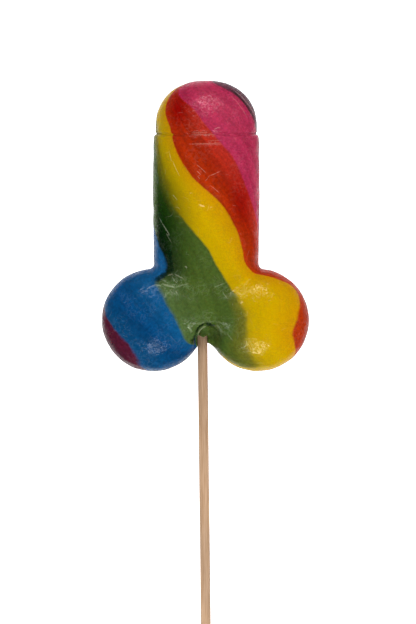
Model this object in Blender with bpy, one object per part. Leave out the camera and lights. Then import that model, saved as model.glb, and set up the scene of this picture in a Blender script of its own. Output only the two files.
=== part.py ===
"""A novelty hard-candy lollipop of pressed rainbow sugar on a round wooden stick.

Metres, +Z up. The lollipop lies on its flat back with its face up: X runs across the two
lobes, Y along the stick towards the candy's tip. The origin is on the surface it lies on,
under the middle of its bounding box.
"""

import math

import bmesh
import bpy
import numpy as np
from mathutils import Matrix, Vector

MM = 0.001

# Driving sizes.
STICK_DIAMETER = 4.0 * MM
STICK_LENGTH = 170.0 * MM
STICK_INSIDE = 45.0 * MM
CANDY_LENGTH = 116.2 * MM
CANDY_WIDTH = 82.8 * MM
FRONT_RISE = 13.5 * MM
BACK_DEPTH = 10.5 * MM

# The two lobes at the candy's foot, and the web of candy that joins them.
LOBE_RADIUS = 20.5 * MM
LOBE_RISE = 0.95 * FRONT_RISE
LOBE_X = CANDY_WIDTH / 2 - LOBE_RADIUS
WEB_HALF_WIDTH = 18.0 * MM
WEB_HALF_LENGTH = 13.5 * MM
WEB_RISE = 0.97 * FRONT_RISE
WEB_ABOVE_LOBES = 5.0 * MM

# The shaft, its rounded tip and the collar under the tip.
SHAFT_X = 0.3 * MM
SHAFT_HALF_WIDTH = 20.8 * MM
SHAFT_SWELL = 0.5 * MM
SWELL_ABOVE_LOBES = 52.0 * MM
SWELL_REACH = 24.0 * MM
BASE_ABOVE_LOBES = 10.5 * MM
BASE_ROUND = 10.0 * MM
TIP_HALF_WIDTH = 20.2 * MM
TIP_HEIGHT = 17.8 * MM
TIP_BLUNTNESS = 2.15
CREASE_BELOW_TIP = 21.2 * MM
COLLAR_BELOW_TIP = 25.1 * MM
CREASE_DEPTH = 0.7 * MM
CREASE_HALF_WIDTH = 1.1 * MM
COLLAR_DEPTH = 0.3 * MM
COLLAR_HALF_LENGTH = 8.0 * MM
CREASE_LEAN = 1.2 * MM

# The hollow that the stick pressed into the foot of the candy, open to the right.
HOLLOW_RADII = (4.1 * MM, 4.1 * MM, 5.5 * MM)
HOLLOW_X = 1.4 * MM
HOLLOW_ABOVE_AXIS = 8.7 * MM
HOLLOW_BELOW_LOBES = 6.5 * MM

# How round the section is, and how far neighbouring forms melt into each other.
ROUNDNESS = 2.3
BACK_RISE = 1.3 * BACK_DEPTH
NECK_BLEND = 2.4 * MM
MIDDLE_BLEND = 8.0 * MM
MIDDLE_REACH = 11.0 * MM
WEB_BLEND = 4.0 * MM
BACK_EDGE_BLEND = 3.0 * MM
TRIM = 0.1 * MM
HOLLOW_BLEND = 1.0 * MM
HOLLOW_OPEN_BLEND = 3.5 * MM
HOLLOW_OPEN_REACH = 4.0 * MM

# The stick.
STICK_LEAN = math.radians(0.68)
STICK_X = -1.2 * MM
STICK_CHAMFER = 0.4 * MM
STICK_SIDES = 32
BORE_CLEARANCE = 0.3 * MM

# Places along Y that follow from the sizes.
NOTCH_BELOW_LOBES = 8.5 * MM
TOTAL_LENGTH = (
    CANDY_LENGTH - LOBE_RADIUS + NOTCH_BELOW_LOBES + STICK_LENGTH - STICK_INSIDE
)
TIP_Y = TOTAL_LENGTH / 2
LOBE_Y = TIP_Y - CANDY_LENGTH + LOBE_RADIUS
NOTCH_Y = LOBE_Y - NOTCH_BELOW_LOBES
SHOULDER_Y = TIP_Y - TIP_HEIGHT
CREASE_Y = TIP_Y - CREASE_BELOW_TIP
COLLAR_Y = TIP_Y - COLLAR_BELOW_TIP
BASE_Y = LOBE_Y + BASE_ABOVE_LOBES
STICK_HIGH_Y = NOTCH_Y + STICK_INSIDE

# Fineness of the candy's mesh.
CELL = 1.1 * MM
TRIANGLE_SHARE = 0.24
PULL_STEPS = 5


def smooth_max(a, b, reach):
    """The larger of two fields, rounded over where they are closer than reach."""
    overlap = np.maximum(reach - np.abs(a - b), 0) / reach
    return np.maximum(a, b) + overlap**2 * reach / 4


def smooth_min(a, b, reach):
    """The smaller of two fields, rounded over where they are closer than reach."""
    return -smooth_max(-a, -b, reach)


def domed(plan, z, half_width, rise):
    """Distance to a form whose height falls from rise at plan 0 to nothing at plan 1.

    plan is a share of the way from the form's spine to its outline, and z is measured from
    the level of that outline. It is exact to first order near the surface.
    """
    height = np.where(z > 0, rise, BACK_RISE)
    level = np.abs(z) / height
    size = (plan**ROUNDNESS + level**ROUNDNESS) ** (1 / ROUNDNESS) + 1e-9
    slope = np.hypot(
        (plan / size) ** (ROUNDNESS - 1) / half_width,
        (level / size) ** (ROUNDNESS - 1) / height,
    )
    return (size - 1) / (slope + 1e-3)


def shaft(x, y, z):
    """The upright: a soft-sided bar with a domed tip and a rounded lower end."""
    swell = np.exp(-(((y - LOBE_Y - SWELL_ABOVE_LOBES) / SWELL_REACH) ** 2))
    below_crease = 1 / (1 + np.exp((y - CREASE_Y) / CREASE_HALF_WIDTH))
    body_width = SHAFT_HALF_WIDTH + SHAFT_SWELL * swell
    half_width = TIP_HALF_WIDTH + (body_width - TIP_HALF_WIDTH) * below_crease
    across = np.abs(x - SHAFT_X) / half_width
    past_tip = np.maximum(y - SHOULDER_Y, 0) / TIP_HEIGHT
    past_base = np.maximum(BASE_Y + BASE_ROUND - y, 0) / BASE_ROUND
    past_ends = past_tip + past_base
    plan = (across**TIP_BLUNTNESS + past_ends**TIP_BLUNTNESS) ** (1 / TIP_BLUNTNESS)
    return domed(plan, z, SHAFT_HALF_WIDTH, FRONT_RISE)


def lobe(x, y, z, side):
    """One round lobe; side is -1 for the left one and 1 for the right."""
    plan = np.hypot(x - side * LOBE_X, y - LOBE_Y) / LOBE_RADIUS
    return domed(plan, z, LOBE_RADIUS, LOBE_RISE)


def web(x, y, z):
    """The bridge of candy between the lobes, under the lower end of the shaft."""
    plan = np.hypot(
        x / WEB_HALF_WIDTH, (y - LOBE_Y - WEB_ABOVE_LOBES) / WEB_HALF_LENGTH
    )
    return domed(plan, z, WEB_HALF_LENGTH, WEB_RISE)


def creases(x, y, z):
    """Depth of the two pressed lines under the tip: one all round, one across the face."""
    lean = CREASE_LEAN * np.maximum(z, 0) / FRONT_RISE
    around = np.exp(-(((y - CREASE_Y + lean) / CREASE_HALF_WIDTH) ** 2))
    second = np.exp(-(((y - COLLAR_Y + lean) / CREASE_HALF_WIDTH) ** 2))
    across = second * np.exp(-((x / COLLAR_HALF_LENGTH) ** 4)) * (z > 0)
    return CREASE_DEPTH * around + COLLAR_DEPTH * across


def hollow(x, y, z):
    """Distance to the hollow over the stick where it enters the candy."""
    offsets = (x - HOLLOW_X, y - LOBE_Y + HOLLOW_BELOW_LOBES, z - HOLLOW_ABOVE_AXIS)
    scaled = [offset / radius for offset, radius in zip(offsets, HOLLOW_RADII)]
    return (np.sqrt(sum(s**2 for s in scaled)) - 1) * min(HOLLOW_RADII)


def candy_field(points):
    """Signed distance to the candy's surface, near enough, negative inside."""
    x, y, z = points[..., 0], points[..., 1], points[..., 2] - BACK_DEPTH
    lobes = smooth_min(lobe(x, y, z, -1), lobe(x, y, z, 1), NECK_BLEND)
    foot = smooth_min(lobes, web(x, y, z), WEB_BLEND)
    middle = np.exp(-((x / MIDDLE_REACH) ** 4))
    field = smooth_min(foot, shaft(x, y, z), NECK_BLEND + (MIDDLE_BLEND - NECK_BLEND) * middle)
    field = field + creases(x, y, z)
    openness = np.clip(x / HOLLOW_OPEN_REACH, 0, 1)
    edge = HOLLOW_BLEND + (HOLLOW_OPEN_BLEND - HOLLOW_BLEND) * openness
    field = smooth_max(field, -hollow(x, y, z), edge)
    return smooth_max(field, -z - BACK_DEPTH - TRIM, BACK_EDGE_BLEND)


def gradient(field, points):
    """The field's slope along each axis, by differences."""
    step = 0.02 * MM
    slopes = [
        (field(points + offset) - field(points - offset)) / (2 * step)
        for offset in np.eye(3) * step
    ]
    return np.stack(slopes, axis=-1)


def isosurface(field, lowest, highest, cell):
    """(points, quads) of the surface where the field is zero: one point in each crossed cell."""
    axes = [np.arange(a, b + cell, cell) for a, b in zip(lowest, highest)]
    grid = np.stack(np.meshgrid(*axes, indexing="ij"), axis=-1)
    inside = field(grid) < 0
    corners = [
        inside[
            i : inside.shape[0] - 1 + i,
            j : inside.shape[1] - 1 + j,
            k : inside.shape[2] - 1 + k,
        ]
        for i in (0, 1)
        for j in (0, 1)
        for k in (0, 1)
    ]
    count = np.sum(corners, axis=0)
    crossed = (count > 0) & (count < 8)
    index = np.full(crossed.shape, -1)
    index[crossed] = np.arange(crossed.sum())
    points = grid[:-1, :-1, :-1][crossed] + cell / 2
    for _ in range(PULL_STEPS):
        slope = gradient(field, points)
        length_squared = np.sum(slope**2, axis=-1) + 1e-6
        points = points - slope * (field(points) / length_squared)[:, None]
    quads = []
    for axis in range(3):
        side_a, side_b = (axis + 1) % 3, (axis + 2) % 3
        here = np.moveaxis(inside, (axis, side_a, side_b), (0, 1, 2))
        cells = np.moveaxis(index, (axis, side_a, side_b), (0, 1, 2))
        leaves = here[:-1, 1:-1, 1:-1] & ~here[1:, 1:-1, 1:-1]
        enters = ~here[:-1, 1:-1, 1:-1] & here[1:, 1:-1, 1:-1]
        around = [
            cells[:, :-1, :-1],
            cells[:, 1:, :-1],
            cells[:, 1:, 1:],
            cells[:, :-1, 1:],
        ]
        quads.append(np.stack([c[leaves] for c in around], axis=-1))
        quads.append(np.stack([c[enters] for c in reversed(around)], axis=-1))
    return points, np.concatenate(quads)


def material(name, colour, roughness):
    """A Principled material with one colour."""
    made = bpy.data.materials.new(name)
    made.use_nodes = True
    shader = made.node_tree.nodes["Principled BSDF"]
    shader.inputs["Base Color"].default_value = (*colour, 1.0)
    shader.inputs["Roughness"].default_value = roughness
    shader.inputs["Metallic"].default_value = 0.0
    return made


def add_object(name, mesh):
    """Links a new object that shows the mesh."""
    made = bpy.data.objects.new(name, mesh)
    bpy.context.scene.collection.objects.link(made)
    return made


def hide_cutter(cutter):
    """Marks an object as one that only cuts others."""
    cutter.hide_render = True
    cutter.display_type = "WIRE"


def rod_mesh(name, radius, low, high, chamfer):
    """A round rod along Y from low to high, its end edges chamfered."""
    bm = bmesh.new()
    rings = []
    for y, r in (
        (low, radius - chamfer),
        (low + chamfer, radius),
        (high - chamfer, radius),
        (high, radius - chamfer),
    ):
        angles = [math.tau * i / STICK_SIDES for i in range(STICK_SIDES)]
        rings.append([bm.verts.new((r * math.cos(a), y, r * math.sin(a))) for a in angles])
    for lower, upper in zip(rings, rings[1:]):
        for i in range(STICK_SIDES):
            j = (i + 1) % STICK_SIDES
            bm.faces.new((lower[i], upper[i], upper[j], lower[j]))
    bm.faces.new(rings[0])
    bm.faces.new(reversed(rings[-1]))
    bmesh.ops.recalc_face_normals(bm, faces=bm.faces)
    mesh = bpy.data.meshes.new(name)
    bm.to_mesh(mesh)
    bm.free()
    return mesh


def place_on_stick_axis(rod):
    """Leans a rod to the stick's line, which passes through the notch between the lobes."""
    rod.location = Vector((STICK_X, NOTCH_Y, BACK_DEPTH))
    rod.rotation_euler = Matrix.Rotation(STICK_LEAN, 4, "Z").to_euler()


def make_stick():
    """The wooden stick, its inner end deep in the candy."""
    outside = STICK_INSIDE - STICK_LENGTH
    mesh = rod_mesh("stick", STICK_DIAMETER / 2, outside, STICK_INSIDE, STICK_CHAMFER)
    mesh.shade_smooth()
    mesh.set_sharp_from_angle(angle=math.radians(35))
    stick = add_object("stick", mesh)
    stick.data.materials.append(material("birch_wood", (0.52, 0.34, 0.22), 0.7))
    place_on_stick_axis(stick)


def make_bore():
    """The cutter for the hole that holds the stick."""
    radius = STICK_DIAMETER / 2 + BORE_CLEARANCE
    mesh = rod_mesh("bore", radius, -2 * LOBE_RADIUS, STICK_INSIDE + BORE_CLEARANCE, 0.1 * MM)
    bore = add_object("bore", mesh)
    hide_cutter(bore)
    place_on_stick_axis(bore)
    return bore


def make_table():
    """The cutter that trims the candy's back flat at the surface it lies on."""
    bm = bmesh.new()
    bmesh.ops.create_cube(bm, size=TOTAL_LENGTH)
    mesh = bpy.data.meshes.new("table")
    bm.to_mesh(mesh)
    bm.free()
    table = add_object("table", mesh)
    table.location.z = -TOTAL_LENGTH / 2
    table.location.y = LOBE_Y
    hide_cutter(table)
    return table


def make_candy(cutters):
    """The pressed candy, its back trimmed flat and the stick's hole cut in it."""
    margin = 3 * CELL
    lowest = (-CANDY_WIDTH / 2 - margin, LOBE_Y - LOBE_RADIUS - margin, -2.5 * CELL)
    highest = (CANDY_WIDTH / 2 + margin, TIP_Y + margin, BACK_DEPTH + FRONT_RISE + margin)
    points, quads = isosurface(candy_field, lowest, highest, CELL)
    mesh = bpy.data.meshes.new("candy")
    mesh.from_pydata(points.tolist(), [], quads.tolist())
    mesh.shade_smooth()
    candy = add_object("candy", mesh)
    candy.data.materials.append(material("rainbow_sugar", (0.30, 0.16, 0.03), 0.3))
    thin = candy.modifiers.new("fewer_triangles", "DECIMATE")
    thin.ratio = TRIANGLE_SHARE
    for cutter in cutters:
        cut = candy.modifiers.new(cutter.name, "BOOLEAN")
        cut.operation = "DIFFERENCE"
        cut.object = cutter


def main():
    for leftover in list(bpy.data.objects):
        bpy.data.objects.remove(leftover)
    make_stick()
    make_candy([make_bore(), make_table()])


main()
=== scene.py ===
"""The looks of a novelty rainbow lollipop: pressed, twisted boiled sugar on a wooden stick.

The candy's form is the same signed field that shapes its CAD solid, meshed finely here and
given its creases, the lip round the stick, its scratches and its bands of colour, with painted
highlights and shade among its marks and painted glints among its specks. Lengths are
in design millimetres, each MM long in the frame, and heights are measured along Y from the
middle of the two lobes.
"""

import math

import bmesh
import bpy
import numpy as np
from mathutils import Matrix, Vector


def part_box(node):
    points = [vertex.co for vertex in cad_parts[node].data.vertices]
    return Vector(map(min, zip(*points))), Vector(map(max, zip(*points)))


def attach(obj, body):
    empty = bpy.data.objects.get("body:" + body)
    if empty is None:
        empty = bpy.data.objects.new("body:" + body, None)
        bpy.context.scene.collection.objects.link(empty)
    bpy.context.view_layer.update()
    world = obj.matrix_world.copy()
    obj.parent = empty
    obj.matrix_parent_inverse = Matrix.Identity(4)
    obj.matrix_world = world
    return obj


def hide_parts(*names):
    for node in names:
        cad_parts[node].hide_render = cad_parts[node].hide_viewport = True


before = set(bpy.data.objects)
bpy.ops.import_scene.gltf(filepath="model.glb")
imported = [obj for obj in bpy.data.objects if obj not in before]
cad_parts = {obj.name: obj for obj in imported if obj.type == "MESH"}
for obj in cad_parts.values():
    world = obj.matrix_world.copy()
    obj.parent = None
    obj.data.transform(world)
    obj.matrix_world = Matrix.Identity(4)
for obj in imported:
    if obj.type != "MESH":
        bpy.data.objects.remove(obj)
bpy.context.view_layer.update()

CANDY_LOW, CANDY_HIGH = (np.array(corner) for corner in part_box("candy"))
STICK_LOW, STICK_HIGH = (np.array(corner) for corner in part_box("stick"))

# One design millimetre, from the candy's width in the frame.
CANDY_WIDTH_MM = 82.8
MM = (CANDY_HIGH[0] - CANDY_LOW[0]) / CANDY_WIDTH_MM

# Places that follow from the frame.
STICK_RADIUS = (STICK_HIGH[2] - STICK_LOW[2]) / 2
AXIS_Z = (STICK_HIGH[2] + STICK_LOW[2]) / 2
STICK_TOP = Vector((STICK_LOW[0] + STICK_RADIUS, STICK_HIGH[1], AXIS_Z))
STICK_FOOT = Vector((STICK_HIGH[0] - STICK_RADIUS, STICK_LOW[1], AXIS_Z))
STICK_DIRECTION = (STICK_TOP - STICK_FOOT).normalized()
LOBE_RADIUS = 20.5 * MM
LOBE_Y = CANDY_LOW[1] + LOBE_RADIUS
TIP_Y = CANDY_HIGH[1]
BACK_DEPTH = AXIS_Z - CANDY_LOW[2]
FRONT_RISE = 13.5 * MM

# Forms of the candy, as in its CAD solid.
LOBE_RISE = 0.95 * FRONT_RISE
LOBE_X = CANDY_WIDTH_MM * MM / 2 - LOBE_RADIUS
WEB_HALF_WIDTH = 18.0 * MM
WEB_HALF_LENGTH = 13.5 * MM
WEB_RISE = 0.97 * FRONT_RISE
WEB_ABOVE_LOBES = 5.0 * MM
SHAFT_X = 0.3 * MM
SHAFT_HALF_WIDTH = 20.8 * MM
SHAFT_SWELL = 0.5 * MM
SWELL_ABOVE_LOBES = 52.0 * MM
SWELL_REACH = 24.0 * MM
BASE_ABOVE_LOBES = 10.5 * MM
BASE_ROUND = 10.0 * MM
TIP_HALF_WIDTH = 20.2 * MM
TIP_HEIGHT = 17.8 * MM
TIP_BLUNTNESS = 2.15
SHOULDER_Y = TIP_Y - TIP_HEIGHT
BASE_Y = LOBE_Y + BASE_ABOVE_LOBES
ROUNDNESS = 2.3
BACK_RISE = 1.3 * BACK_DEPTH
BACK_EDGE_BLEND = 3.0 * MM
NECK_BLEND = 2.4 * MM
MIDDLE_BLEND = 8.0 * MM
MIDDLE_REACH = 11.0 * MM
WEB_BLEND = 4.0 * MM

# The pressed lines under the tip.
CREASE_Y = TIP_Y - 21.3 * MM
CREASE_DEPTH = 0.8 * MM
CREASE_HALF_WIDTH = 0.55 * MM
CREASE_LEAN = 1.2 * MM
CREASE_BOW = 0.35 * MM
CREASE_BOW_REACH = 4.0 * MM
COLLAR_Y = TIP_Y - 25.1 * MM
COLLAR_DEPTH = 0.3 * MM
COLLAR_HALF_LENGTH = 8.0 * MM

# The hollow over the stick, its rolled lip, and the mouth that shows the stick's end.
HOLLOW_MIDDLE = np.array([1.4 * MM, LOBE_Y - 6.5 * MM, AXIS_Z + 8.7 * MM])
HOLLOW_RADII = np.array([4.1, 4.1, 6.3]) * MM
HOLLOW_BLEND = 0.5 * MM
HOLLOW_OPEN_BLEND = 3.5 * MM
HOLLOW_OPEN_REACH = 4.0 * MM
LIP_HEIGHT = 0.45 * MM
LIP_PLACE = 0.35 * MM
LIP_HALF_WIDTH = 0.4 * MM
LIP_TURN = 0.75
LIP_TURN_REACH = 0.8
GROOVE_DEPTH = 0.6 * MM
GROOVE_PLACE = 1.2 * MM
MOUTH_HALF_WIDTH = 2.7 * MM
MOUTH_FLOOR_Z = AXIS_Z + 0.7 * MM
MOUTH_Y = LOBE_Y - 6.5 * MM
MOUTH_RAGGEDNESS = 0.35 * MM
MOUTH_RAG_LENGTH = 0.55 * MM
MOUTH_BLEND = 0.3 * MM
BORE_CLEARANCE = 0.1 * MM

# Low waves all over the pressed surface.
RELIEF_HEIGHT = 0.05 * MM
RELIEF_LENGTH = 6.5 * MM
RELIEF_SEED = 5
WAVES = 10

# Fineness of the candy's mesh.
CELL = 0.48 * MM
PULL_STEPS = 6

# The edges between the bands. Each runs down the candy as (height in mm, angle in degrees),
# the angle measured round the candy from the middle of its front, positive to the right.
BAND_EDGES = (
    ((96, 8), (94, 17), (90, 37), (84, 53), (76, 73), (60, 105), (30, 150), (0, 190), (-21, 205)),
    (
        (96, -55), (90.5, -44), (84, -19), (77.5, -3), (69.5, 16), (62, 32), (52, 47), (42, 61),
        (37.5, 70), (15, 108), (-21, 130),
    ),
    (
        (96, -58), (85, -53), (74, -40), (63, -28), (57, -17), (51, 0), (47.5, 11), (37, 31),
        (28, 41), (22, 46), (17.5, 64), (13, 75), (2, 69), (-7, 67), (-13, 79), (-21, 105),
    ),
    (
        (96, -110), (75, -70), (65, -57), (52, -45), (46, -38), (39.5, -24), (28.5, 0), (21, 12),
        (17, 19), (11.5, 32), (5, 38), (-4, 40), (-12, 46), (-21, 72),
    ),
    (
        (96, -190), (60, -128), (38, -78), (29, -57), (22, -45), (19, -47), (15.5, -54), (12, -47),
        (6, -39), (-4, -30), (-8, -29), (-10, -27), (-12, -20), (-21, 0),
    ),
    (
        (96, -265), (52, -178), (20, -118), (5, -82), (-4, -68), (-10, -62), (-15, -63),
        (-19.5, -76), (-21, -90),
    ),
)
BAND_COUNT = len(BAND_EDGES)

# Near the middle the bands run on down into the notch as if its walls were this much higher.
NOTCH_LIFT = 9.0 * MM
NOTCH_REACH = 10.0 * MM


def smooth_max(a, b, reach):
    """The larger of two fields, rounded over where they are closer than reach."""
    overlap = np.maximum(reach - np.abs(a - b), 0) / reach
    return np.maximum(a, b) + overlap**2 * reach / 4


def smooth_min(a, b, reach):
    """The smaller of two fields, rounded over where they are closer than reach."""
    return -smooth_max(-a, -b, reach)


def smooth_step(value, low, high):
    """0 below low, 1 above high and a smooth rise between them."""
    share = np.clip((value - low) / (high - low), 0, 1)
    return share * share * (3 - 2 * share)


def ripples(points, wavelength, seed):
    """Smooth noise of about unit size, from plane waves in random directions."""
    random = np.random.default_rng(seed)
    total = np.zeros(points.shape[:-1])
    for _ in range(WAVES):
        direction = random.normal(size=3)
        direction /= np.linalg.norm(direction)
        length = wavelength * random.uniform(0.7, 1.5)
        total += np.sin(points @ direction * math.tau / length + random.uniform(0, math.tau))
    return total * math.sqrt(2 / WAVES)


def domed(plan, z, half_width, rise):
    """Distance to a form whose height falls from rise at plan 0 to nothing at plan 1."""
    height = np.where(z > 0, rise, BACK_RISE)
    level = np.abs(z) / height
    size = (plan**ROUNDNESS + level**ROUNDNESS) ** (1 / ROUNDNESS) + 1e-9
    slope = np.hypot(
        (plan / size) ** (ROUNDNESS - 1) / half_width,
        (level / size) ** (ROUNDNESS - 1) / height,
    )
    return (size - 1) / (slope + 1e-3)


def shaft(x, y, z):
    """The upright: a soft-sided bar with a domed tip and a rounded lower end."""
    swell = np.exp(-(((y - LOBE_Y - SWELL_ABOVE_LOBES) / SWELL_REACH) ** 2))
    below_crease = 1 / (1 + np.exp((y - CREASE_Y) / CREASE_HALF_WIDTH))
    body_width = SHAFT_HALF_WIDTH + SHAFT_SWELL * swell
    half_width = TIP_HALF_WIDTH + (body_width - TIP_HALF_WIDTH) * below_crease
    across = np.abs(x - SHAFT_X) / half_width
    past_tip = np.maximum(y - SHOULDER_Y, 0) / TIP_HEIGHT
    past_base = np.maximum(BASE_Y + BASE_ROUND - y, 0) / BASE_ROUND
    past_ends = past_tip + past_base
    plan = (across**TIP_BLUNTNESS + past_ends**TIP_BLUNTNESS) ** (1 / TIP_BLUNTNESS)
    return domed(plan, z, SHAFT_HALF_WIDTH, FRONT_RISE)


def lobe(x, y, z, side):
    """One round lobe; side is -1 for the left one and 1 for the right."""
    plan = np.hypot(x - side * LOBE_X, y - LOBE_Y) / LOBE_RADIUS
    return domed(plan, z, LOBE_RADIUS, LOBE_RISE)


def web(x, y, z):
    """The bridge of candy between the lobes, under the lower end of the shaft."""
    plan = np.hypot(
        x / WEB_HALF_WIDTH, (y - LOBE_Y - WEB_ABOVE_LOBES) / WEB_HALF_LENGTH
    )
    return domed(plan, z, WEB_HALF_LENGTH, WEB_RISE)


def creases(x, y, z):
    """Depth of the two pressed lines under the tip: one all round, one across the face."""
    lean = CREASE_LEAN * np.maximum(z, 0) / FRONT_RISE
    bow = CREASE_BOW * np.cos(x / CREASE_BOW_REACH)
    around = np.exp(-(((y - CREASE_Y + lean - bow) / CREASE_HALF_WIDTH) ** 2))
    second = np.exp(-(((y - COLLAR_Y + lean) / CREASE_HALF_WIDTH) ** 2))
    across = second * np.exp(-((x / COLLAR_HALF_LENGTH) ** 4)) * (z > 0)
    return CREASE_DEPTH * around + COLLAR_DEPTH * across


def hollow(points):
    """Distance to the hollow that the stick pressed into the candy's face."""
    scaled = (points - HOLLOW_MIDDLE) / HOLLOW_RADII
    return (np.linalg.norm(scaled, axis=-1) - 1) * HOLLOW_RADII.min()


def rolled_lip(points, distance):
    """Height of the lip round the hollow's upper left side, less the groove outside it."""
    offset = points - HOLLOW_MIDDLE
    turn = np.arctan2(offset[..., 1], -offset[..., 0])
    share = np.exp(-(((turn - LIP_TURN) / LIP_TURN_REACH) ** 4)) * (offset[..., 2] > -HOLLOW_RADII[2])
    lip = LIP_HEIGHT * np.exp(-(((distance - LIP_PLACE) / LIP_HALF_WIDTH) ** 2))
    groove = GROOVE_DEPTH * np.exp(-(((distance - GROOVE_PLACE) / LIP_HALF_WIDTH) ** 2))
    return share * (lip - groove)


def mouth(points):
    """Distance to the gap in front of the stick where it leaves the candy."""
    x, y, z = points[..., 0], points[..., 1], points[..., 2]
    ragged = MOUTH_RAGGEDNESS * np.sin(x / MOUTH_RAG_LENGTH)
    across = np.abs(x - STICK_TOP.x) - MOUTH_HALF_WIDTH
    wall = smooth_max(across, y - MOUTH_Y - ragged, MOUTH_BLEND)
    return smooth_max(wall, MOUTH_FLOOR_Z - z, MOUTH_BLEND)


def bore(points):
    """Distance to the blind hole that holds the stick."""
    offset = points - np.array(STICK_TOP)
    along = offset @ np.array(STICK_DIRECTION)
    across = np.sqrt(np.maximum(np.sum(offset**2, axis=-1) - along**2, 0))
    side = across - STICK_RADIUS - BORE_CLEARANCE
    return np.maximum(side, along - BORE_CLEARANCE)


def candy_field(points):
    """Signed distance to the candy's surface, near enough, negative inside."""
    x, y, z = points[..., 0], points[..., 1], points[..., 2] - AXIS_Z
    lobes = smooth_min(lobe(x, y, z, -1), lobe(x, y, z, 1), NECK_BLEND)
    foot = smooth_min(lobes, web(x, y, z), WEB_BLEND)
    middle = np.exp(-((x / MIDDLE_REACH) ** 4))
    field = smooth_min(foot, shaft(x, y, z), NECK_BLEND + (MIDDLE_BLEND - NECK_BLEND) * middle)
    field = field + creases(x, y, z) - RELIEF_HEIGHT * ripples(points, RELIEF_LENGTH, RELIEF_SEED)
    hole = hollow(points)
    field = field - rolled_lip(points, hole)
    openness = smooth_step(x, 0, HOLLOW_OPEN_REACH)
    edge_blend = HOLLOW_BLEND + (HOLLOW_OPEN_BLEND - HOLLOW_BLEND) * openness
    field = smooth_max(field, -hole, edge_blend)
    field = smooth_max(field, -mouth(points), MOUTH_BLEND)
    field = smooth_max(field, -z - BACK_DEPTH, BACK_EDGE_BLEND)
    return np.maximum(field, -bore(points))


def gradient(field, points):
    """The field's slope along each axis, by differences."""
    step = 0.02 * MM
    slopes = [
        (field(points + offset) - field(points - offset)) / (2 * step)
        for offset in np.eye(3) * step
    ]
    return np.stack(slopes, axis=-1)


def crossed_cells(field, lowest, highest):
    """The grid's axes, which of its points are inside, and which cells the surface crosses."""
    axes = [np.arange(a, b + CELL, CELL) for a, b in zip(lowest, highest)]
    rows = [
        field(np.stack(np.meshgrid([x], axes[1], axes[2], indexing="ij"), axis=-1)) < 0
        for x in axes[0]
    ]
    inside = np.concatenate(rows)
    near, far = slice(None, -1), slice(1, None)
    count = sum(
        inside[i, j, k].astype(int) for i in (near, far) for j in (near, far) for k in (near, far)
    )
    return axes, inside, (count > 0) & (count < 8)


def pulled(field, points):
    """The points moved down or up the field's slope onto the surface."""
    for _ in range(PULL_STEPS):
        slope = gradient(field, points)
        length_squared = np.sum(slope**2, axis=-1) + 1e-6
        points = points - slope * (field(points) / length_squared)[:, None]
    return points


def isosurface(field, lowest, highest):
    """(points, quads) of the surface where the field is zero: one point in each crossed cell."""
    axes, inside, crossed = crossed_cells(field, lowest, highest)
    index = np.full(crossed.shape, -1)
    index[crossed] = np.arange(crossed.sum())
    centres = np.array([axis[0] for axis in axes]) + (np.argwhere(crossed) + 0.5) * CELL
    quads = []
    for axis in range(3):
        order = (axis, (axis + 1) % 3, (axis + 2) % 3)
        here = np.moveaxis(inside, order, (0, 1, 2))
        cell = np.moveaxis(index, order, (0, 1, 2))
        leaves = here[:-1, 1:-1, 1:-1] & ~here[1:, 1:-1, 1:-1]
        enters = ~here[:-1, 1:-1, 1:-1] & here[1:, 1:-1, 1:-1]
        around = [cell[:, :-1, :-1], cell[:, 1:, :-1], cell[:, 1:, 1:], cell[:, :-1, 1:]]
        quads.append(np.stack([c[leaves] for c in around], axis=-1))
        quads.append(np.stack([c[enters] for c in reversed(around)], axis=-1))
    return pulled(field, centres), np.concatenate(quads)


def turn_angle(points):
    """Degrees round the candy from the middle of its front, positive to the right."""
    height = points[:, 2] - AXIS_Z
    least = NOTCH_LIFT * (1 - np.abs(points[:, 0]) / NOTCH_REACH)
    height = np.where(height > 0, np.maximum(height, least), height)
    depth = np.where(height > 0, FRONT_RISE, BACK_DEPTH)
    across = (points[:, 0] - SHAFT_X) / SHAFT_HALF_WIDTH
    return np.degrees(np.arctan2(across, height / depth))


def edge_angle(edge, heights):
    """The angle of one band edge at each height: a smooth curve through the edge's points."""
    knots = np.array(BAND_EDGES[edge % BAND_COUNT][::-1], dtype=float)
    position, value = knots[:, 0], knots[:, 1]
    steps = np.diff(value) / np.diff(position)
    slopes = np.concatenate([steps[:1], (steps[:-1] + steps[1:]) / 2, steps[-1:]])
    heights = np.clip(heights, position[0], position[-1])
    span = np.clip(np.searchsorted(position, heights) - 1, 0, len(position) - 2)
    width = position[span + 1] - position[span]
    t = (heights - position[span]) / width
    start, end = value[span], value[span + 1]
    curve = (
        (2 * t**3 - 3 * t**2 + 1) * start
        + (t**3 - 2 * t**2 + t) * width * slopes[span]
        + (3 * t**2 - 2 * t**3) * end
        + (t**3 - t**2) * width * slopes[span + 1]
    )
    return curve - 360 * (edge // BAND_COUNT)


def swirl(points):
    """Where each point lies in the run of bands: n at the start of band n, plus the share of it."""
    heights = (points[:, 1] - LOBE_Y) / MM
    angle = turn_angle(points)
    first, last = -BAND_COUNT // 2, 2 * BAND_COUNT - 2
    edges = [edge_angle(edge, heights) for edge in range(first, last + 1)]
    place = np.full(len(points), float(first))
    for start, end in zip(edges, edges[1:]):
        place += np.clip((start - angle) / (start - end), 0, 1)
    return place


def add_object(name, mesh):
    """Links a new object that shows the mesh."""
    made = bpy.data.objects.new(name, mesh)
    bpy.context.scene.collection.objects.link(made)
    return made


def add_float(mesh, name, domain, values):
    """Stores a number for each of the mesh's points or corners."""
    layer = mesh.attributes.new(name=name, type="FLOAT", domain=domain)
    layer.data.foreach_set("value", np.asarray(values, dtype=np.float32))


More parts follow.
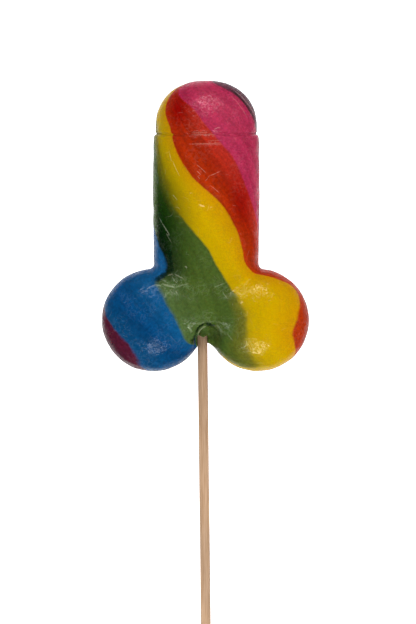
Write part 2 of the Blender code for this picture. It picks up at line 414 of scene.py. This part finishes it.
def unwrap(place, quads):
    """Each corner's place in one run of the bands, kept close to its face's first corner."""
    corners = place[quads] - BAND_COUNT * np.floor(place[quads[:, :1]] / BAND_COUNT)
    return corners - BAND_COUNT * np.round((corners - corners[:, :1]) / BAND_COUNT)


# Where clear, dark sugar shows. Down the shaft's left flank it comes in and goes out between these
# angles and heights, and round it are patches: middle height and angle, half-sizes and strength.
DEEP_INNER_ANGLES = (-50, 2)
DEEP_OUTER_ANGLES = (-80, -56)
DEEP_FOOT_HEIGHTS = (13, 20)
DEEP_HEAD_HEIGHTS = (42, 66)
DEEP_HEAD_LOSS = 0.5
DEEP_PATCHES = ((84, -32, 10, 15, 1.0), (47, 40, 12, 16, 0.8), (68, 47, 7, 12, 0.6))

# The edge between yellow and green is blurred on the lobes and on the upper shaft.
SOFT_LOBES = 0.55
SOFT_LOBE_HEIGHTS = (4, 15)
SOFT_UPPER_HEIGHTS = (38, 56)


def deep_share(points):
    """How far clear, dark sugar shows at each point."""
    heights = (points[:, 1] - LOBE_Y) / MM
    angle = turn_angle(points)
    flank = (1 - smooth_step(angle, *DEEP_INNER_ANGLES)) * smooth_step(angle, *DEEP_OUTER_ANGLES)
    head = 1 - DEEP_HEAD_LOSS * smooth_step(heights, *DEEP_HEAD_HEIGHTS)
    shares = [flank * smooth_step(heights, *DEEP_FOOT_HEIGHTS) * head]
    for height, turn, half_height, half_turn, strength in DEEP_PATCHES:
        reach = ((heights - height) / half_height) ** 2 + ((angle - turn) / half_turn) ** 2
        shares.append(strength * np.exp(-reach))
    return np.maximum.reduce(shares)


def soft_share(points):
    """How far the edge between yellow and green is blurred."""
    heights = (points[:, 1] - LOBE_Y) / MM
    lobes = SOFT_LOBES * (1 - smooth_step(heights, *SOFT_LOBE_HEIGHTS))
    return np.maximum(lobes, smooth_step(heights, *SOFT_UPPER_HEIGHTS))


# Marks on the face, light or dark: x and height of the middle, direction in degrees, length, bend
# (1/mm), half-width and strength. A dark mark has a negative strength. Most light marks are
# scratches and nicks, but the light lines along the creases under the tip, on the hollow's lip and
# along the tip's right side are painted highlights. Every dark mark is painted shade: in the groove
# at the left neck, in and round the hollow, beside the stick and along the tip's right side.
FACE_MARKS = (
    (-1.6, 59.4, -42, 5.6, -0.02, 0.16, 0.6), (-2.6, 57.8, -45, 2.2, 0, 0.18, 0.7),
    (3.7, 57.5, 24, 5.8, 0.02, 0.17, 0.6), (3.8, 51.3, -40, 5.2, -0.02, 0.15, 0.5),
    (-2.6, 55.9, -50, 1.6, 0, 0.2, 0.6), (0.6, 55.3, 50, 2.4, 0.05, 0.16, 0.45),
    (-1.4, 44.9, -22, 3.0, 0, 0.3, 1), (2.4, 44.4, 10, 1.2, 0, 0.2, 0.6),
    (-5.8, 49.9, 4, 1.5, 0, 0.18, 0.55), (-13.8, 64.3, -77, 4.2, 0.01, 0.14, 0.45),
    (-11.6, 59.6, -66, 7.4, 0.01, 0.16, 0.5), (-12.0, 48.3, -50, 3.2, 0, 0.17, 0.55),
    (-16.9, 37.9, -62, 7.6, 0, 0.15, 0.5), (-15.6, 35.9, -58, 6.8, 0, 0.2, 0.75),
    (-14.6, 32.6, -60, 6.0, 0, 0.15, 0.5), (-7.6, 20.8, -55, 1.5, 0, 0.26, 0.8),
    (-14.0, 17.9, 15, 3.2, 0.05, 0.22, 0.6), (-10.4, 17.2, -29, 4.6, 0, 0.26, 0.65),
    (-14.6, 13.6, -14, 5.8, 0.04, 0.4, 0.85), (-9.2, 13.7, 16, 6.2, -0.03, 0.24, 0.55),
    (-12.0, 15.6, -48, 4.0, 0.1, 0.2, 0.5), (-13.4, 11.2, -50, 3.0, 0.08, 0.18, 0.45),
    (-11.4, 10.8, -66, 2.0, -0.12, 0.22, 0.55), (-21.4, 13.2, 28, 4.6, -0.03, 0.24, 0.6),
    (-18.6, 13.8, -8, 2.6, 0, 0.3, 0.7), (5.4, 13.7, 22, 5.0, 0, 0.2, 0.5),
    (7.6, 9.9, -55, 4.4, 0.05, 0.18, 0.45), (14.2, 6.9, 48, 1.6, 0, 0.4, 1),
    (10.7, 6.6, 0, 0.8, 0, 0.26, 0.7), (14.0, 2.8, 60, 1.2, 0, 0.2, 0.5),
    (-6.2, -3.3, -64, 4.0, 0, 0.5, 0.5), (5.6, -3.3, -54, 4.6, 0, 0.42, 0.35),
    (9.6, -6.6, -52, 4.2, 0, 0.3, 0.35), (-13.9, 24.2, -83, 9.0, 0, 0.9, -0.85),
    (-17.4, 17.2, 34, 7.0, 0, 1.1, -0.9), (-14.2, 19.6, 10, 4.0, 0, 0.9, -0.8),
    (4.5, 75.3, 16, 3.0, -0.06, 0.26, 0.55), (-0.8, 72.9, 0, 11.0, 0, 0.3, 0.5),
    (-2.0, 73.8, 3, 8.0, 0, 0.2, 0.35), (0.2, 69.2, 1, 13.0, 0, 0.26, 0.45),
    (3.3, 70.4, 4, 7.0, 0, 0.2, 0.3), (-1.5, -3.7, 44, 5.4, -0.12, 0.26, 1),
    (-2.1, -2.9, 44, 7.0, -0.1, 0.42, -0.9), (-0.6, -4.6, 44, 4.4, -0.1, 0.75, -0.8),
    (-3.6, -3.5, 58, 2.2, -0.05, 0.2, 0.6), (-4.4, -7.6, 60, 5.2, 0, 1.1, -0.8),
    (1.8, -1.8, -24, 4.6, 0, 0.9, -0.9), (15.1, 85.3, -52, 20.0, -0.0165, 0.32, -0.8),
    (15.9, 86.0, -50, 18.0, -0.0165, 0.22, 0.7), (13.4, 84.4, -53, 13.0, -0.014, 0.2, 0.3),
)
UP = np.array([0.0, 0.0, 1.0])
MARK_REACH = 0.95 * MM
CLEAR_OF_MARKS = 8.0

# Short random scratches all over, with the ranges of their lengths, half-widths and strengths.
SCRATCH_COUNT = 300
SCRATCH_SEED = 11
SCRATCH_LENGTHS = (0.8, 3.6)
SCRATCH_BEND = 0.12
SCRATCH_HALF_WIDTHS = (0.12, 0.24)
SCRATCH_STRENGTHS = (0.06, 0.24)


def draw_mark(points, middle, normal, direction, length, bend, half_width, strength):
    """(the points that a mark touches, their signed offsets from its line, its strength there)."""
    near = np.flatnonzero(np.abs(points - middle).max(axis=-1) < length / 2 + 3 * MARK_REACH)
    offset = points[near] - middle
    along = offset @ direction
    across = offset @ np.cross(normal, direction) - bend * (along**2 - (length / 2) ** 2 / 3)
    depth = np.abs(offset @ normal) < length / 2 + MARK_REACH
    reach = MARK_REACH + half_width
    taper = np.clip(1.3 * (1 - (2 * along / length) ** 2), 0, 1)
    share = taper * np.clip(1.5 * (1 - np.abs(across) / reach), 0, 1) * depth
    limit = CLEAR_OF_MARKS
    return near, np.clip(across / half_width, -limit, limit), strength * share


def face_marks(points, normals):
    """The face's own marks, each as draw_mark's middle, normal, direction and sizes."""
    faces_up = np.flatnonzero(normals[:, 2] > 0.1)
    for x, height, turn, length, bend, half_width, strength in FACE_MARKS:
        place = np.array([x * MM, LOBE_Y + height * MM])
        distance = np.abs(points[faces_up, :2] - place).max(axis=-1)
        close = faces_up[distance < 2 * CELL]
        middle = np.array([*place, points[close, 2].max()])
        turn = math.radians(turn)
        heading = np.array([math.cos(turn), math.sin(turn), 0.0])
        yield middle, UP, heading, length * MM, bend / MM, half_width * MM, strength


def scratches(points, normals):
    """Short random scratches over the whole surface."""
    random = np.random.default_rng(SCRATCH_SEED)
    for _ in range(SCRATCH_COUNT):
        spot = random.integers(len(points))
        heading = np.cross(normals[spot], random.normal(size=3))
        heading /= np.linalg.norm(heading)
        length = random.uniform(*SCRATCH_LENGTHS) * MM
        bend = random.normal(0, SCRATCH_BEND) / MM
        half_width = random.uniform(*SCRATCH_HALF_WIDTHS) * MM
        strength = random.uniform(*SCRATCH_STRENGTHS)
        yield points[spot], normals[spot], heading, length, bend, half_width, strength


def all_marks(points, normals):
    """Each point's signed offset from its strongest mark, in half-widths, and its strength."""
    offsets = np.full(len(points), CLEAR_OF_MARKS)
    strengths = np.zeros(len(points))
    for mark in [*scratches(points, normals), *face_marks(points, normals)]:
        near, offset, share = draw_mark(points, *mark)
        stronger = np.abs(share) > np.abs(strengths[near])
        offsets[near[stronger]] = offset[stronger]
        strengths[near[stronger]] = share[stronger]
    return offsets, strengths


# Patches where the pale specks are stronger, partly scuffing and partly painted glints: x and height
# of the middle, half-widths and strength.
SCUFF_AND_GLINT_PATCHES = (
    (-12.6, 14.4, 5.0, 2.6, 1.4), (-6.0, 12.6, 5.0, 1.8, 0.45), (8.0, 11.6, 5.0, 2.2, 0.45),
    (1.5, 1.8, 4.5, 1.8, 0.5), (-5.6, -3.4, 1.6, 3.2, 0.6), (7.5, -4.0, 3.4, 2.6, 0.45),
    (-1.0, 7.0, 6.0, 4.0, 0.35), (2.5, 83.0, 7.5, 3.6, 0.5), (14.4, -10.0, 3.6, 2.6, 0.3),
)


def scuff_and_glint_share(points):
    """How far the pale specks, partly scuffing and partly painted glints, are strengthened on the
    face.
    """
    x = points[:, 0] / MM
    heights = (points[:, 1] - LOBE_Y) / MM
    total = np.zeros(len(points))
    for middle, height, half_width, half_height, strength in SCUFF_AND_GLINT_PATCHES:
        reach = ((x - middle) / half_width) ** 2 + ((heights - height) / half_height) ** 2
        total += strength * np.exp(-reach)
    return total * (points[:, 2] > AXIS_Z)


class Graph:
    """Adds nodes to one material and links them."""

    def __init__(self, name):
        self.material = bpy.data.materials.new(name)
        self.material.use_nodes = True
        self.tree = self.material.node_tree
        self.shader = self.tree.nodes["Principled BSDF"]

    def feed(self, socket, value):
        """Links an output to the socket, or sets a plain value on it."""
        if isinstance(value, bpy.types.NodeSocket):
            self.tree.links.new(value, socket)
        else:
            socket.default_value = value

    def add(self, kind, inputs, output=0, **settings):
        """A new node; inputs maps its sockets to values or outputs. Returns one output."""
        node = self.tree.nodes.new("ShaderNode" + kind)
        for name, value in settings.items():
            setattr(node, name, value)
        for key, value in inputs.items():
            self.feed(node.inputs[key], value)
        return node.outputs[output]

    def math(self, operation, *values):
        """A Math node's result."""
        return self.add("Math", dict(enumerate(values)), operation=operation)

    def stored(self, name):
        """A number stored on the mesh."""
        return self.add("Attribute", {}, output="Fac", attribute_name=name)

    def mix(self, share, first, second, blend="MIX"):
        """Two colours mixed by share."""
        inputs = {0: share, 6: first, 7: second}
        return self.add("Mix", inputs, output=2, data_type="RGBA", blend_type=blend)

    def ramp(self, value, stops):
        """A colour ramp through (position, colour) stops."""
        node = self.tree.nodes.new("ShaderNodeValToRGB")
        elements = node.color_ramp.elements
        while len(elements) < len(stops):
            elements.new(1.0)
        for element, (position, colour) in zip(elements, stops):
            element.position = position
            element.color = colour
        self.feed(node.inputs[0], value)
        return node.outputs[0]

    def noise(self, vector, scale, detail=2.0, roughness=0.5):
        """Noise between 0 and 1."""
        inputs = {"Vector": vector, "Scale": scale, "Detail": detail, "Roughness": roughness}
        return self.add("TexNoise", inputs, output=0)

    def scaled(self, vector, factors):
        """A vector multiplied by fixed factors."""
        return self.add("VectorMath", {0: vector, 1: factors}, operation="MULTIPLY")

    def along_bands(self, band, place):
        """Coordinates that change fast across the bands and slowly along them."""
        parts = self.tree.nodes.new("ShaderNodeSeparateXYZ")
        self.feed(parts.inputs[0], place)
        inputs = {
            0: self.math("MULTIPLY", band, 9.0),
            1: self.math("MULTIPLY", parts.outputs[1], 25.0),
            2: self.math("MULTIPLY", parts.outputs[2], 25.0),
        }
        return self.add("CombineXYZ", inputs)

    def remap(self, value, from_low, from_high, to_low, to_high):
        """A value carried from one range to another and held there."""
        inputs = {0: value, 1: from_low, 2: from_high, 3: to_low, 4: to_high}
        return self.add("MapRange", inputs, interpolation_type="SMOOTHSTEP")


def colour(code):
    """A linear colour with alpha from a six-digit sRGB code."""
    channels = [int(code[i : i + 2], 16) / 255 for i in (0, 2, 4)]
    linear = [c / 12.92 if c <= 0.04045 else ((c + 0.055) / 1.055) ** 2.4 for c in channels]
    return (*linear, 1.0)


# Each band's colour where it starts, in its middle and where it ends, in the order they wind:
# pink, red, yellow, green, blue and purple.
BANDS = (
    ("a6284c", "b03352", "aa2c4e"),
    ("ae2a20", "9f2406", "a83206"),
    ("c88e02", "c8a000", "ba9a00"),
    ("425620", "43571f", "4a6030"),
    ("0c4e7c", "034070", "084874"),
    ("4c1428", "3e0e24", "5a2238"),
)

# The same bands where the sugar is clear and dark.
DEEP_BANDS = (
    ("9a1c40", "9a1c40", "9a1c40"),
    ("8c0a02", "880402", "8c0a02"),
    ("9a7602", "827402", "585804"),
    ("162e05", "0a2603", "021505"),
    ("0e5080", "0a4c7a", "0a4c7a"),
    ("38101f", "38101f", "38101f"),
)

# How far the surface's mottling shows in each band: fully, but little in the yellow.
FULL = ("ffffff", "ffffff", "ffffff")
LIVELY_BANDS = (FULL, FULL, ("707070", "585858", "707070"), FULL, FULL, FULL)

# Half the width of the change at each band's start, as a share of the band.
EDGE_WIDTHS = (0.03, 0.012, 0.02, 0.022, 0.012, 0.01)
BLURRED_WIDTHS = (0.03, 0.012, 0.02, 0.17, 0.012, 0.01)
RAMP_LOW = -0.75
RAMP_HIGH = BAND_COUNT + 0.75

# The fineness of each pattern on the candy, as the scale of its noise.
WOBBLE_SCALE = 70.0
FRAY_SCALE = 700.0
MOTTLE_SCALE = 900.0
RIDGE_SCALE = 620.0
PATCH_SCALE = 150.0
RAGGED_SCALE = 1300.0
GLEAM_SCALE = 850.0
WEAR_SCALE = 160.0
PEEL_SCALE = 1000.0
PATCHY_SCALE = 420.0
BUMP_DEPTH = 0.11 * MM
# The pale speck colour serves scuffing and painted glints, the light mark colour scratches, nicks and
# painted highlights, and the dark mark colour painted shade.
SCUFF_AND_GLINT_SPECK_COLOUR = "e8ece0"
LIGHT_MARK_COLOUR = "f0f0d8"
PAINTED_SHADE_COLOUR = "041a0a"
WHITE = (1.0, 1.0, 1.0, 1.0)


def band_stops(bands, widths):
    """Ramp stops that run through the bands, from the last one round to the first again."""
    stops = []
    for band in range(-1, BAND_COUNT + 1):
        start, middle, end = (colour(code) for code in bands[band % BAND_COUNT])
        before = widths[band % BAND_COUNT]
        after = widths[(band + 1) % BAND_COUNT]
        stops.append((band + before, start))
        stops.append((band + 0.5, middle))
        stops.append((band + 1 - after, end))
    span = RAMP_HIGH - RAMP_LOW
    placed = [((position - RAMP_LOW) / span, shade) for position, shade in stops]
    return [(position, shade) for position, shade in placed if 0 <= position <= 1]


def banded(graph, place):
    """(the place in the run of bands, the bands' colours, how far mottling shows in each)."""
    wobble = graph.math("SUBTRACT", graph.noise(place, WOBBLE_SCALE, 2.0), 0.5)
    fray = graph.math("SUBTRACT", graph.noise(place, FRAY_SCALE, 3.0, 0.6), 0.5)
    shift = graph.math("MULTIPLY_ADD", fray, 0.03, graph.math("MULTIPLY", wobble, 0.12))
    band = graph.math("ADD", graph.stored("swirl"), shift)
    share = graph.remap(band, RAMP_LOW, RAMP_HIGH, 0.0, 1.0)
    share.node.interpolation_type = "LINEAR"
    crisp = graph.ramp(share, band_stops(BANDS, EDGE_WIDTHS))
    soft = graph.ramp(share, band_stops(BANDS, BLURRED_WIDTHS))
    deep = graph.ramp(share, band_stops(DEEP_BANDS, BLURRED_WIDTHS))
    body = graph.mix(graph.stored("soft"), crisp, soft)
    body = graph.mix(graph.stored("deep"), body, deep)
    return band, body, graph.ramp(share, band_stops(LIVELY_BANDS, EDGE_WIDTHS))


def mottled(graph, place, band, body, bright, ridge):
    """The colour with streaks along the bands, fine mottling, and pale worm-like specks that are
    partly scuffing and partly painted glints.
    """
    streaks = graph.noise(graph.along_bands(band, place), 1.0, 2.0)
    streaked = graph.mix(1.0, body, graph.remap(streaks, 0.3, 0.7, 0.86, 1.14), "MULTIPLY")
    mottle = graph.remap(graph.noise(place, MOTTLE_SCALE, 2.0, 0.6), 0.3, 0.7, 0.86, 1.14)
    patch = graph.remap(graph.noise(place, PATCH_SCALE, 2.0), 0.42, 0.6, 0.1, 1.0)
    # Pale worm-like specks: partly scuffing, partly painted glints of the gloss.
    worm = graph.math("MULTIPLY", graph.remap(ridge, 0.0, 0.08, 1.0, 0.0), patch)
    worm = graph.math("MULTIPLY", worm, graph.math("ADD", graph.stored("scuff_and_glint"), 0.3))
    scuff_and_glint_speck = graph.mix(0.2, bright, colour(SCUFF_AND_GLINT_SPECK_COLOUR))
    body = graph.mix(1.0, streaked, mottle, "MULTIPLY")
    return graph.mix(graph.math("MULTIPLY", worm, 0.28), body, scuff_and_glint_speck)


def marked(graph, place, body, bright):
    """(the colour with the light and dark marks on it, how strong the light marks are). The dark
    marks are painted shade; the light ones are scratches and nicks, some of them painted highlights.
    """
    ragged = graph.math("SUBTRACT", graph.noise(place, RAGGED_SCALE, 1.0), 0.5)
    offset = graph.math("ABSOLUTE", graph.stored("mark_offset"))
    line = graph.remap(graph.math("MULTIPLY_ADD", ragged, 2.0, offset), 0.4, 1.3, 1.0, 0.0)
    strength = graph.stored("mark_strength")
    # Light marks: scratches and nicks, and painted highlights on the creases under the tip, the
    # hollow's lip and the tip's right side.
    light = graph.math("MULTIPLY", line, graph.math("MAXIMUM", strength, 0.0))
    # Dark marks: painted shade in the neck groove, in and round the hollow, beside the stick and
    # along the tip's right side.
    dark = graph.math("MAXIMUM", graph.math("SUBTRACT", 0.0, strength), 0.0)
    light_colour = graph.mix(0.4, bright, colour(LIGHT_MARK_COLOUR))
    body = graph.mix(graph.math("MULTIPLY", light, 0.5), body, light_colour)
    return graph.mix(graph.math("MULTIPLY", line, dark), body, colour(PAINTED_SHADE_COLOUR)), light


def feed_gloss(graph, place, body):
    """A worn gloss: worm-like glints, patchy in strength and roughness, tinted by the sugar."""
    gleam = graph.math("SUBTRACT", graph.noise(place, GLEAM_SCALE, 2.0), 0.5)
    glints = graph.remap(graph.math("ABSOLUTE", gleam), 0.0, 0.09, 1.2, 0.05)
    wear = graph.remap(graph.noise(place, WEAR_SCALE, 2.0), 0.38, 0.6, 0.6, 1.2)
    tint = graph.mix(0.5, WHITE, graph.mix(1.0, body, (3.0, 3.0, 3.0, 1.0), "MULTIPLY"))
    patchy = graph.remap(graph.noise(place, PATCHY_SCALE, 3.0, 0.6), 0.3, 0.7, 0.08, 0.17)
    graph.feed(graph.shader.inputs["Specular IOR Level"], graph.math("MULTIPLY", glints, wear))
    graph.feed(graph.shader.inputs["Specular Tint"], tint)
    graph.feed(graph.shader.inputs["Roughness"], patchy)


def candy_material():
    """Glossy, slightly scuffed boiled sugar in twisted bands, with painted glints, highlights and
    shade among its specks and marks.
    """
    graph = Graph("twisted_sugar")
    place = graph.add("TexCoord", {}, output="Object")
    band, body, lively = banded(graph, place)
    bright = graph.mix(1.0, body, (2.0, 2.0, 2.0, 1.0), "MULTIPLY")
    ridge = graph.math("SUBTRACT", graph.noise(place, RIDGE_SCALE, 2.0), 0.5)
    ridge = graph.math("ABSOLUTE", ridge)
    feed_gloss(graph, place, body)
    body = graph.mix(lively, body, mottled(graph, place, band, body, bright, ridge))
    body, light = marked(graph, place, body, bright)
    graph.feed(graph.shader.inputs["Base Color"], body)

    peel = graph.noise(place, PEEL_SCALE, 1.0, 0.5)
    relief = graph.math("MULTIPLY_ADD", graph.remap(ridge, 0.0, 0.12, 1.0, 0.0), 0.3, peel)
    relief = graph.math("MULTIPLY_ADD", light, 0.25, relief)
    bumps = {"Strength": 0.8, "Distance": BUMP_DEPTH, "Height": relief}
    graph.feed(graph.shader.inputs["Normal"], graph.add("Bump", bumps))
    graph.shader.inputs["Subsurface Weight"].default_value = 0.12
    graph.shader.inputs["Subsurface Scale"].default_value = 1.5 * MM
    graph.shader.inputs["IOR"].default_value = 1.5
    return graph.material


def make_candy():
    """The candy's fine mesh with its bands stored on it."""
    margin = 3 * CELL
    points, quads = isosurface(candy_field, CANDY_LOW - margin, CANDY_HIGH + margin)
    place = swirl(points)
    mesh = bpy.data.meshes.new("candy_surface")
    mesh.from_pydata(points.tolist(), [], quads.tolist())
    mesh.shade_smooth()
    add_float(mesh, "swirl", "CORNER", unwrap(place, quads).ravel())
    add_float(mesh, "deep", "POINT", deep_share(points))
    add_float(mesh, "soft", "POINT", soft_share(points))
    add_float(mesh, "scuff_and_glint", "POINT", scuff_and_glint_share(points))
    normals = gradient(candy_field, points)
    normals /= np.linalg.norm(normals, axis=-1, keepdims=True)
    offsets, strengths = all_marks(points, normals)
    add_float(mesh, "mark_offset", "POINT", offsets)
    add_float(mesh, "mark_strength", "POINT", strengths)
    candy = add_object("candy_surface", mesh)
    mesh.materials.append(candy_material())
    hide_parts("candy")
    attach(candy, "root")


# The stick.
STICK_SIDES = 48
STICK_RINGS = 120
STICK_END_ROUND = 0.35 * MM
STICK_UNEVENNESS = 0.03 * MM
STICK_UNEVEN_LENGTH = 9.0 * MM

# Between these heights the wood darkens towards the candy.
DARKENING_LOW_Y = LOBE_Y - 70 * MM
DARKENING_HIGH_Y = LOBE_Y - 8 * MM


def stick_material():
    """Bare wood with fine grain along the stick."""
    graph = Graph("pale_wood")
    place = graph.add("TexCoord", {}, output="Object")
    grain = graph.noise(graph.scaled(place, (1.0, 0.04, 1.0)), 1600.0, 4.0, 0.6)
    tone = graph.noise(graph.scaled(place, (1.0, 0.08, 1.0)), 300.0, 2.0)
    light, dark = colour("c09e7f"), colour("9a7450")
    body = graph.mix(graph.remap(grain, 0.35, 0.7, 0.0, 0.6), light, dark)
    body = graph.mix(1.0, body, graph.remap(tone, 0.3, 0.7, 0.86, 1.1), "MULTIPLY")
    parts = graph.tree.nodes.new("ShaderNodeSeparateXYZ")
    graph.feed(parts.inputs[0], place)
    darkening = graph.remap(parts.outputs[1], DARKENING_LOW_Y, DARKENING_HIGH_Y, 1.06, 0.82)
    body = graph.mix(1.0, body, darkening, "MULTIPLY")
    graph.feed(graph.shader.inputs["Base Color"], body)
    graph.feed(graph.shader.inputs["Roughness"], graph.remap(grain, 0.3, 0.7, 0.6, 0.8))
    bumps = {"Strength": 0.4, "Distance": 0.05 * MM, "Height": grain}
    graph.feed(graph.shader.inputs["Normal"], graph.add("Bump", bumps))
    return graph.material


def stick_ring(bm, along, radius, side, up):
    """One ring of the stick's points, a little out of round."""
    ring = []
    for i in range(STICK_SIDES):
        angle = math.tau * i / STICK_SIDES
        uneven = STICK_UNEVENNESS * (1 + math.sin(3 * angle + along / STICK_UNEVEN_LENGTH)) / 2
        outward = side * math.cos(angle) + up * math.sin(angle)
        middle = STICK_FOOT + STICK_DIRECTION * along
        ring.append(bm.verts.new(middle + outward * (radius - uneven)))
    return ring


def make_stick():
    """The stick as a long rod with eased ends and a slightly uneven surface."""
    length = (STICK_TOP - STICK_FOOT).length
    side = STICK_DIRECTION.cross(Vector((0, 0, 1))).normalized()
    up = side.cross(STICK_DIRECTION)
    bm = bmesh.new()
    inner = [length * i / STICK_RINGS for i in range(1, STICK_RINGS)]
    stops = [(0.0, STICK_RADIUS - STICK_END_ROUND), (STICK_END_ROUND, STICK_RADIUS)]
    stops += [(along, STICK_RADIUS) for along in inner]
    stops += [(length - STICK_END_ROUND, STICK_RADIUS), (length, STICK_RADIUS - STICK_END_ROUND)]
    rings = [stick_ring(bm, along, radius, side, up) for along, radius in stops]
    for lower, upper in zip(rings, rings[1:]):
        for i in range(STICK_SIDES):
            j = (i + 1) % STICK_SIDES
            bm.faces.new((lower[i], lower[j], upper[j], upper[i]))
    bm.faces.new(reversed(rings[0]))
    bm.faces.new(rings[-1])
    bmesh.ops.recalc_face_normals(bm, faces=bm.faces)
    mesh = bpy.data.meshes.new("wooden_stick")
    bm.to_mesh(mesh)
    bm.free()
    mesh.shade_smooth()
    mesh.set_sharp_from_angle(angle=math.radians(50))
    stick = add_object("wooden_stick", mesh)
    mesh.materials.append(stick_material())
    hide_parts("stick")
    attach(stick, "root")


# The stage: a white floor, soft lamps beyond the tip and on the stick's side, and the camera above.
FLOOR_SIZE = 4.0
FLOOR_GLOW = 1.5
VIEW_MIDDLE = Vector((1.0 * MM, LOBE_Y + 3.2 * MM, AXIS_Z))
VIEW_HEIGHT = 249.6 * MM
LENS_MM = 100.0
SENSOR_MM = 36.0
LAMP_DISTANCE = 0.9
LAMPS_AIM_HEIGHT = 35.0 * MM
# Each lamp's tilt from straight above in degrees, its size, its power and whether it glints.
LAMPS = (
    ("far_lamp", 34, 0.6, 0.36, 4.3, False),
    ("far_glint", 41, 0.5, 0.34, 1.5, True),
    ("near_lamp", -41, 0.36, 0.3, 0.4, False),
    ("near_glint", -41, 0.3, 0.24, 5.4, True),
)
SKY_STRENGTH = 0.06
# The surroundings' brightness by the upward part of the direction: the floor by the candy is in
# its shadow, and the floor farther off is white.
SURROUNDINGS = ((-0.94, 0.15), (-0.88, 1.1), (-0.64, 0.8), (-0.25, SKY_STRENGTH))


def make_floor():
    """A plain white floor that glows a little, so that no shadow shows."""
    bm = bmesh.new()
    bmesh.ops.create_grid(bm, x_segments=1, y_segments=1, size=FLOOR_SIZE / 2)
    mesh = bpy.data.meshes.new("floor")
    bm.to_mesh(mesh)
    bm.free()
    floor = add_object("floor", mesh)
    graph = Graph("white_floor")
    graph.shader.inputs["Base Color"].default_value = (0.5, 0.5, 0.5, 1.0)
    graph.shader.inputs["Roughness"].default_value = 0.9
    graph.shader.inputs["Specular IOR Level"].default_value = 0.0
    graph.shader.inputs["Emission Color"].default_value = WHITE
    graph.shader.inputs["Emission Strength"].default_value = FLOOR_GLOW
    mesh.materials.append(graph.material)
    floor.visible_glossy = False


def aim(item, place, target):
    """Puts a camera or lamp at a place and points it at the target."""
    item.location = place
    item.rotation_euler = (target - place).to_track_quat("-Z", "Y").to_euler()


def make_lamps():
    """Soft boxes beyond the tip and on the stick's side. Some aren't mirrored in the gloss."""
    target = Vector((0, LOBE_Y + LAMPS_AIM_HEIGHT, AXIS_Z))
    for name, tilt, width, height, power, glints in LAMPS:
        lamp = bpy.data.lights.new(name, "AREA")
        lamp.shape = "RECTANGLE"
        lamp.size = width
        lamp.size_y = height
        lamp.energy = power
        item = bpy.data.objects.new(name, lamp)
        item.visible_glossy = glints
        bpy.context.scene.collection.objects.link(item)
        angle = math.radians(tilt)
        away = Vector((0, math.sin(angle), math.cos(angle))) * LAMP_DISTANCE
        aim(item, target + away, target)


def make_world():
    """Dim surroundings above, and a white backdrop far below for the gloss to mirror."""
    world = bpy.data.worlds.new("studio")
    world.use_nodes = True
    tree = world.node_tree
    direction = tree.nodes.new("ShaderNodeTexCoord").outputs["Generated"]
    split = tree.nodes.new("ShaderNodeSeparateXYZ")
    share = tree.nodes.new("ShaderNodeMapRange")
    share.inputs["From Min"].default_value = -1.0
    ramp = tree.nodes.new("ShaderNodeValToRGB")
    elements = ramp.color_ramp.elements
    while len(elements) < len(SURROUNDINGS):
        elements.new(1.0)
    for element, (height, strength) in zip(elements, SURROUNDINGS):
        element.position = (height + 1) / 2
        element.color = (strength, strength, strength, 1.0)
    background = tree.nodes["Background"]
    tree.links.new(direction, split.inputs[0])
    tree.links.new(split.outputs["Z"], share.inputs[0])
    tree.links.new(share.outputs[0], ramp.inputs[0])
    tree.links.new(ramp.outputs[0], background.inputs["Color"])
    bpy.context.scene.world = world


def make_camera():
    """A long lens straight above, the tip towards the top of the picture."""
    data = bpy.data.cameras.new("camera")
    data.lens = LENS_MM
    data.sensor_fit = "VERTICAL"
    data.sensor_height = SENSOR_MM
    camera = bpy.data.objects.new("camera", data)
    bpy.context.scene.collection.objects.link(camera)
    camera.location = VIEW_MIDDLE + Vector((0, 0, VIEW_HEIGHT * LENS_MM / SENSOR_MM))
    bpy.context.scene.camera = camera


def main():
    make_candy()
    make_stick()
    make_floor()
    make_lamps()
    make_world()
    make_camera()
    bpy.context.scene.view_settings.view_transform = "Standard"


main()
